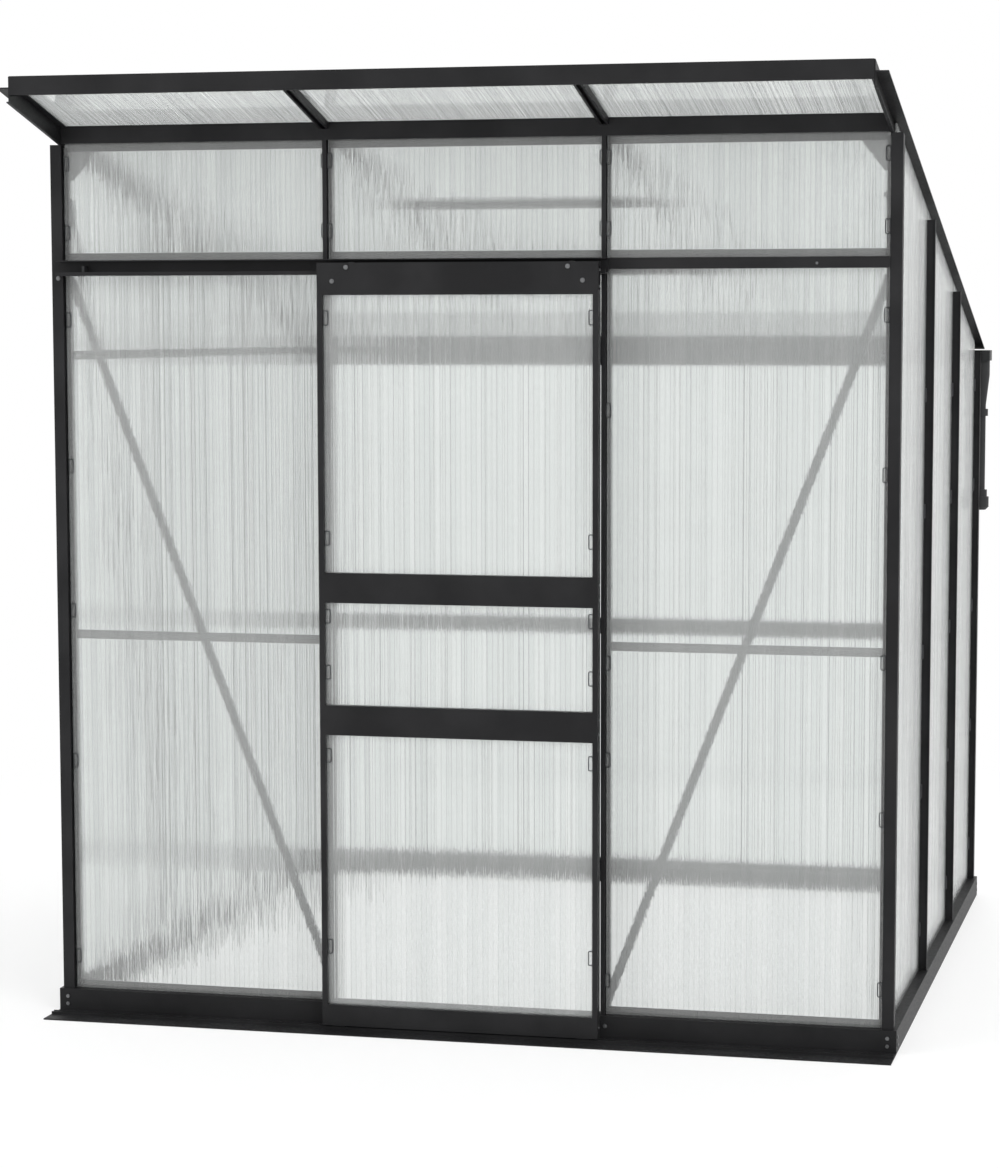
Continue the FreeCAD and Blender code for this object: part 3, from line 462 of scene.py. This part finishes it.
def clipPlaces():
    framePlaces, doorPlaces = [], []
    bar, depth = clip["barAxis"], walls["sheetFace"] - walls["wireRest"]

    def add(places, x, y, z, away, along, out):
        places.append(((x * mm, y * mm, z * mm), clipAxes(away, along, out)))

    # across is from the wall's middle, along X or Y, and sense is the way from the bar into the sheet
    def addToWall(side, across, z, sense):
        if side == "front":
            add(framePlaces, across, walls["front"] + depth, z, (sense, 0, 0), upright, forward)
        elif side == "rear":
            add(framePlaces, across, walls["rear"] - depth, z, (sense, 0, 0), upright, rearward)
        else:
            end = 1 if side == "right" else -1
            add(framePlaces, end * (walls["side"] - depth), walls["middle"] + across, z, (0, sense, 0),
                upright, (end, 0, 0))

    for heights, across, sense in ((clip["leftCorner"], -clip["cornerSide"], 1),
                                   (clip["leftBar"], -bar - clip["barSide"], -1),
                                   (clip["rightBar"], bar + clip["barSide"], 1),
                                   (clip["rightCorner"], clip["cornerSide"], -1)):
        for z in heights:
            addToWall("front", across, z, sense)
    edges = ((-clip["cornerSide"], 1), (-bar - clip["barSide"], -1), (-bar + clip["barSide"], 1),
             (bar - clip["barSide"], -1), (bar + clip["barSide"], 1), (clip["cornerSide"], -1))
    for side in ("front", "rear", "left", "right"):
        for z in clip["transom"] if side == "front" else clip["wall"]:
            for across, sense in edges:
                addToWall(side, across, z, sense)
    above = (walls["roofSheet"] + walls["wireRest"]) / math.cos(roofPitch)
    for y in clip["roof"]:
        z = walls["roof"] - y * math.tan(roofPitch) + above
        for x, sense in edges:
            if abs(x) > bar or y in clip["roofMiddle"]:
                add(framePlaces, x, walls["front"] + y, z, (sense, 0, 0), downSlope, offSlope)
    for z in clip["door"]:
        for sense in (-1, 1):
            add(doorPlaces, sense * clip["doorSide"], walls["doorSheet"] - walls["wireRest"], z,
                (-sense, 0, 0), upright, forward)
    return framePlaces, doorPlaces


clipTree = makeClipTree()
for name, body, places in zip(("glazing_clips", "door_clips"), ("frame", "door"), clipPlaces()):
    mesh = grow(seedPoints(places), clipTree, {"Wire": clip["wire"], "Width": clip["width"],
                                               "Height": clip["height"], "Bend": clip["bend"],
                                               "Metal": springWire})
    showPiece(name, mesh, body)
    print(name, len(places), "clips,", len(mesh.polygons), "faces")


# screws: a round washer face under a chamfered hexagon, each stage let a little into the one below
def makeScrewTree():
    tree, given = startTree("hexScrews", {"Radius": "Float", "Height": "Float", "Metal": "Material"})
    # shares of the radius at the foot and the top, and of the height, and the number of corners
    stages = ((1.25, 1.2, 0.0, 0.32, 14), (1.0, 1.0, 0.25, 0.82, 6), (0.97, 0.8, 0.76, 1.0, 6))
    joined = addNode(tree, "GeometryNodeJoinGeometry")
    for foot, top, low, high, corners in stages:
        sizes = {"Radius Bottom": ("Radius", foot), "Radius Top": ("Radius", top),
                 "Depth": ("Height", high - low), "Z": ("Height", low)}
        for label, (source, part) in sizes.items():
            sizes[label] = addNode(tree, "ShaderNodeMath", {0: given[source], 1: part}, operation="MULTIPLY")
        lift = addNode(tree, "ShaderNodeCombineXYZ", {"Z": sizes.pop("Z")})
        cone = addNode(tree, "GeometryNodeMeshCone", {"Vertices": corners, "Side Segments": 1,
                                                      "Fill Segments": 1, **sizes})
        stage = addNode(tree, "GeometryNodeTransform", {"Geometry": cone, "Translation": lift})
        tree.links.new(stage.outputs[0], joined.inputs[0])
    placeCopies(tree, given, joined)
    return tree


# screw sizes in metres, and their places in millimetres
screw = {"radius": 4.2 * mm, "small": 2.4 * mm, "height": 2.2 * mm, "headerX": 280.5, "headerZ": 1668.0,
         "headerFace": -910.5, "stileX": 315.0, "stileY": -898.0,
         "stileZ": (35, 684, 717, 979, 1012, 1655, 1690),
         "frame": ((-320, -854.5, 29.7), (320, -854.5, 29.7), (-943, -847.3, 1678)),
         "transom": ((777, -850.5, 1703),)}
facingFront = [(1, 0, 0), (0, 0, 1), (0, -1, 0)]
header = [((side * screw["headerX"], screw["headerFace"], screw["headerZ"]), facingFront) for side in (-1, 1)]
stiles = [((side * screw["stileX"], screw["stileY"], z), [(0, side, 0), (0, 0, 1), (side, 0, 0)])
          for side in (-1, 1) for z in screw["stileZ"]]
rails = [(place, facingFront) for place in screw["frame"]]
transom = [(place, facingFront) for place in screw["transom"]]
screwTree = makeScrewTree()
for name, body, places, radius in (("header_screws", "door", header, screw["radius"]),
                                   ("stile_screws", "door", stiles, screw["small"]),
                                   ("rail_screws", "frame", rails, screw["radius"]),
                                   ("transom_screw", "frame", transom, screw["small"])):
    seed = seedPoints([([c * mm for c in place], axes) for place, axes in places])
    mesh = grow(seed, screwTree, {"Radius": radius, "Height": screw["height"], "Metal": zinc})
    showPiece(name, mesh, body)
    print(name, len(places), "screws")


# whether a ray comes from the camera, from a reflection or through a sheet
def addSeen(tree):
    path = addNode(tree, "ShaderNodeLightPath").outputs
    seen = addNode(tree, "ShaderNodeMath", {0: path["Is Camera Ray"], 1: path["Is Glossy Ray"]},
                   operation="MAXIMUM")
    return addNode(tree, "ShaderNodeMath", {0: seen, 1: path["Is Transmission Ray"]}, operation="MAXIMUM")


# floor and room: white to the camera and in reflections, with the shadow kept near the greenhouse
def makeStage():
    room = {"floor": "#fafafa", "size": 30.0, "drop": 0.4 * mm, "light": 0.78, "clear": (1.6, 3.6),
            "near": 0.6}
    white = (1.0, 1.0, 1.0, 1.0)
    size = room["size"]
    mesh = bpy.data.meshes.new("floor")
    corners = [(-size, -size, 0), (size, -size, 0), (size, size, 0), (-size, size, 0)]
    mesh.from_pydata(corners, [], [(0, 1, 2, 3)])
    floor = bpy.data.objects.new("floor", mesh)
    floor.location = (0, 0, -room["drop"])
    bpy.context.scene.collection.objects.link(floor)
    material, tree, place = startMaterial("studioFloor")
    away = addNode(tree, "ShaderNodeVectorMath", {0: place}, operation="LENGTH").outputs["Value"]
    fade = addNode(tree, "ShaderNodeMapRange", {"Value": away, "From Min": room["clear"][0],
                                                "From Max": room["clear"][1], "To Min": room["near"]},
                   interpolation_type="SMOOTHSTEP")
    share = addNode(tree, "ShaderNodeMath", {0: fade, 1: addSeen(tree)}, operation="MULTIPLY")
    matt = addNode(tree, "ShaderNodeBsdfDiffuse", {"Color": linear(room["floor"])})
    bright = addNode(tree, "ShaderNodeEmission", {"Color": white, "Strength": 1.0})
    both = addNode(tree, "ShaderNodeMixShader", {0: share, 1: matt, 2: bright})
    addNode(tree, "ShaderNodeOutputMaterial", {"Surface": both})
    mesh.materials.append(material)
    world = bpy.data.worlds.new("studio")
    bpy.context.scene.world = world
    world.use_nodes = True
    tree = world.node_tree
    tree.nodes.clear()
    soft = addNode(tree, "ShaderNodeBackground", {"Color": white, "Strength": room["light"]})
    bright = addNode(tree, "ShaderNodeBackground", {"Color": white, "Strength": 1.0})
    both = addNode(tree, "ShaderNodeMixShader", {0: addSeen(tree), 1: soft, 2: bright})
    addNode(tree, "ShaderNodeOutputWorld", {"Surface": both})


makeStage()

# soft boxes: a large one over the camera's right shoulder, a wide one at the left, one high behind
lamps = {"key": ((4.6, -5.2, 4.6), 3.6, 240.0), "fill": ((-5.2, -4.2, 3.0), 4.0, 165.0),
         "back": ((1.0, 5.0, 5.2), 4.0, 170.0)}
aimPoint = Vector((0.0, 0.0, 1.0))
for name, (place, size, power) in lamps.items():
    lamp = bpy.data.lights.new(name, "AREA")
    lamp.energy, lamp.size = power, size
    holder = bpy.data.objects.new(name, lamp)
    holder.location = place
    holder.rotation_euler = (aimPoint - Vector(place)).to_track_quat("-Z", "Y").to_euler()
    holder.visible_glossy = False  # a box mirrored in the roof sheets would burn out
    bpy.context.scene.collection.objects.link(holder)

# the camera, as fitted to the photograph, in metres, degrees, pixels and, for the sensor, millimetres
eye = {"place": (1.70129, -7.36677, 1.56876), "yaw": 13.235, "pitch": -5.842, "roll": -0.044, "focal": 3063.9,
       "centre": (538.4, 640.2), "picture": (1000, 1168), "sensor": 36.0, "clipEnd": 200.0}
longSide = eye["picture"][1]
camera = bpy.data.cameras.new("camera")
camera.sensor_width = eye["sensor"]
camera.lens = eye["focal"] * eye["sensor"] / longSide
camera.shift_x = (eye["picture"][0] / 2 - eye["centre"][0]) / longSide
camera.shift_y = (eye["centre"][1] - longSide / 2) / longSide
camera.clip_end = eye["clipEnd"]
holder = bpy.data.objects.new("camera", camera)
yaw, pitch, roll = (math.radians(eye[k]) for k in ("yaw", "pitch", "roll"))
ahead = Vector((-math.sin(yaw) * math.cos(pitch), math.cos(yaw) * math.cos(pitch), math.sin(pitch)))
level = Vector((math.cos(yaw), math.sin(yaw), 0.0))
over = level.cross(ahead)
sideways = math.cos(roll) * level + math.sin(roll) * over
above = math.cos(roll) * over - math.sin(roll) * level
turn = Matrix((sideways, above, -ahead)).transposed().to_4x4()
holder.matrix_world = Matrix.Translation(eye["place"]) @ turn
bpy.context.scene.collection.objects.link(holder)
bpy.context.scene.camera = holder
bpy.context.scene.view_settings.view_transform = "Standard"
print("stage, lamps and camera set")
